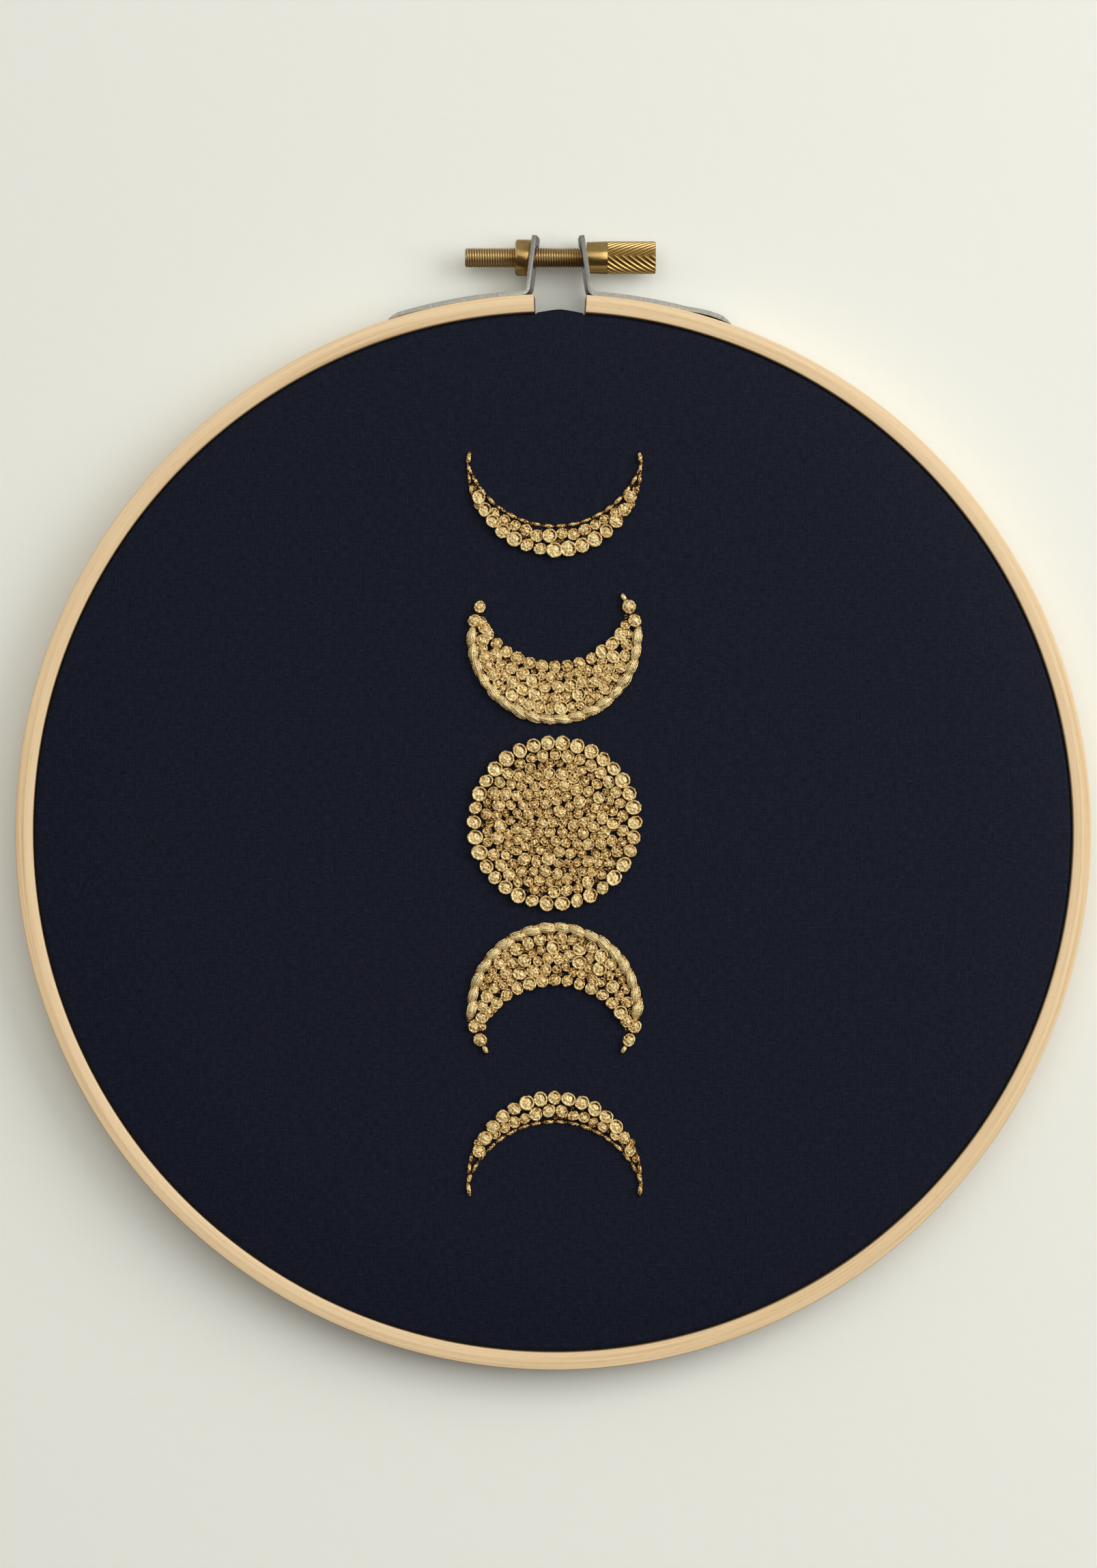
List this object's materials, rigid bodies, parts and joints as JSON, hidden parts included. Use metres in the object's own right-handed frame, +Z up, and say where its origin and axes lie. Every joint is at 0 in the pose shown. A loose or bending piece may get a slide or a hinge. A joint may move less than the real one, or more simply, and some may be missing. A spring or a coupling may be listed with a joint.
{
  "type": "hoop embroidery art: stretched cloth and its wooden hoop",
  "caption": "Dark cloth stretched in a round wooden hoop with a thumbscrew on top, embroidered with a column of moon phases in raised gold knots, to hang on a wall.",
  "frame": {"origin": "the hanging point: underside of the screw's shank, in the middle of the outer hoop's split", "axes": "+Z up, as the column of moons runs, +X to the right seen from the front, +Y back towards the wall"},
  "size_m": [0.2097, 0.011, 0.2216],
  "materials": {
    "hoop_wood": "sanded, pale, unvarnished",
    "ground_cloth": "plain weave, matt, near black blue",
    "bracket_steel": "plain zinc grey",
    "screw_brass": "turned and knurled, slightly dull",
    "gold_thread": "metallic embroidery thread"
  },
  "bodies": {
    "hoop": {"outer_hoop": "hoop_wood", "inner_hoop": "hoop_wood", "cloth": "ground_cloth", "bracket_left": "bracket_steel", "bracket_right": "bracket_steel", "nut": "screw_brass", "moon_top_thin": "gold_thread", "moon_top_thick": "gold_thread", "moon_full": "gold_thread", "moon_bottom_thick": "gold_thread", "moon_bottom_thin": "gold_thread"},
    "screw": {"thumbscrew": "screw_brass"}
  },
  "joints": [
    {"name": "thumbscrew_turn", "type": "hinge", "parent": "hoop", "child": "screw", "pos_m": [0, 0, 0.002], "axis": [1, 0, 0], "continuous": true}
  ]
}
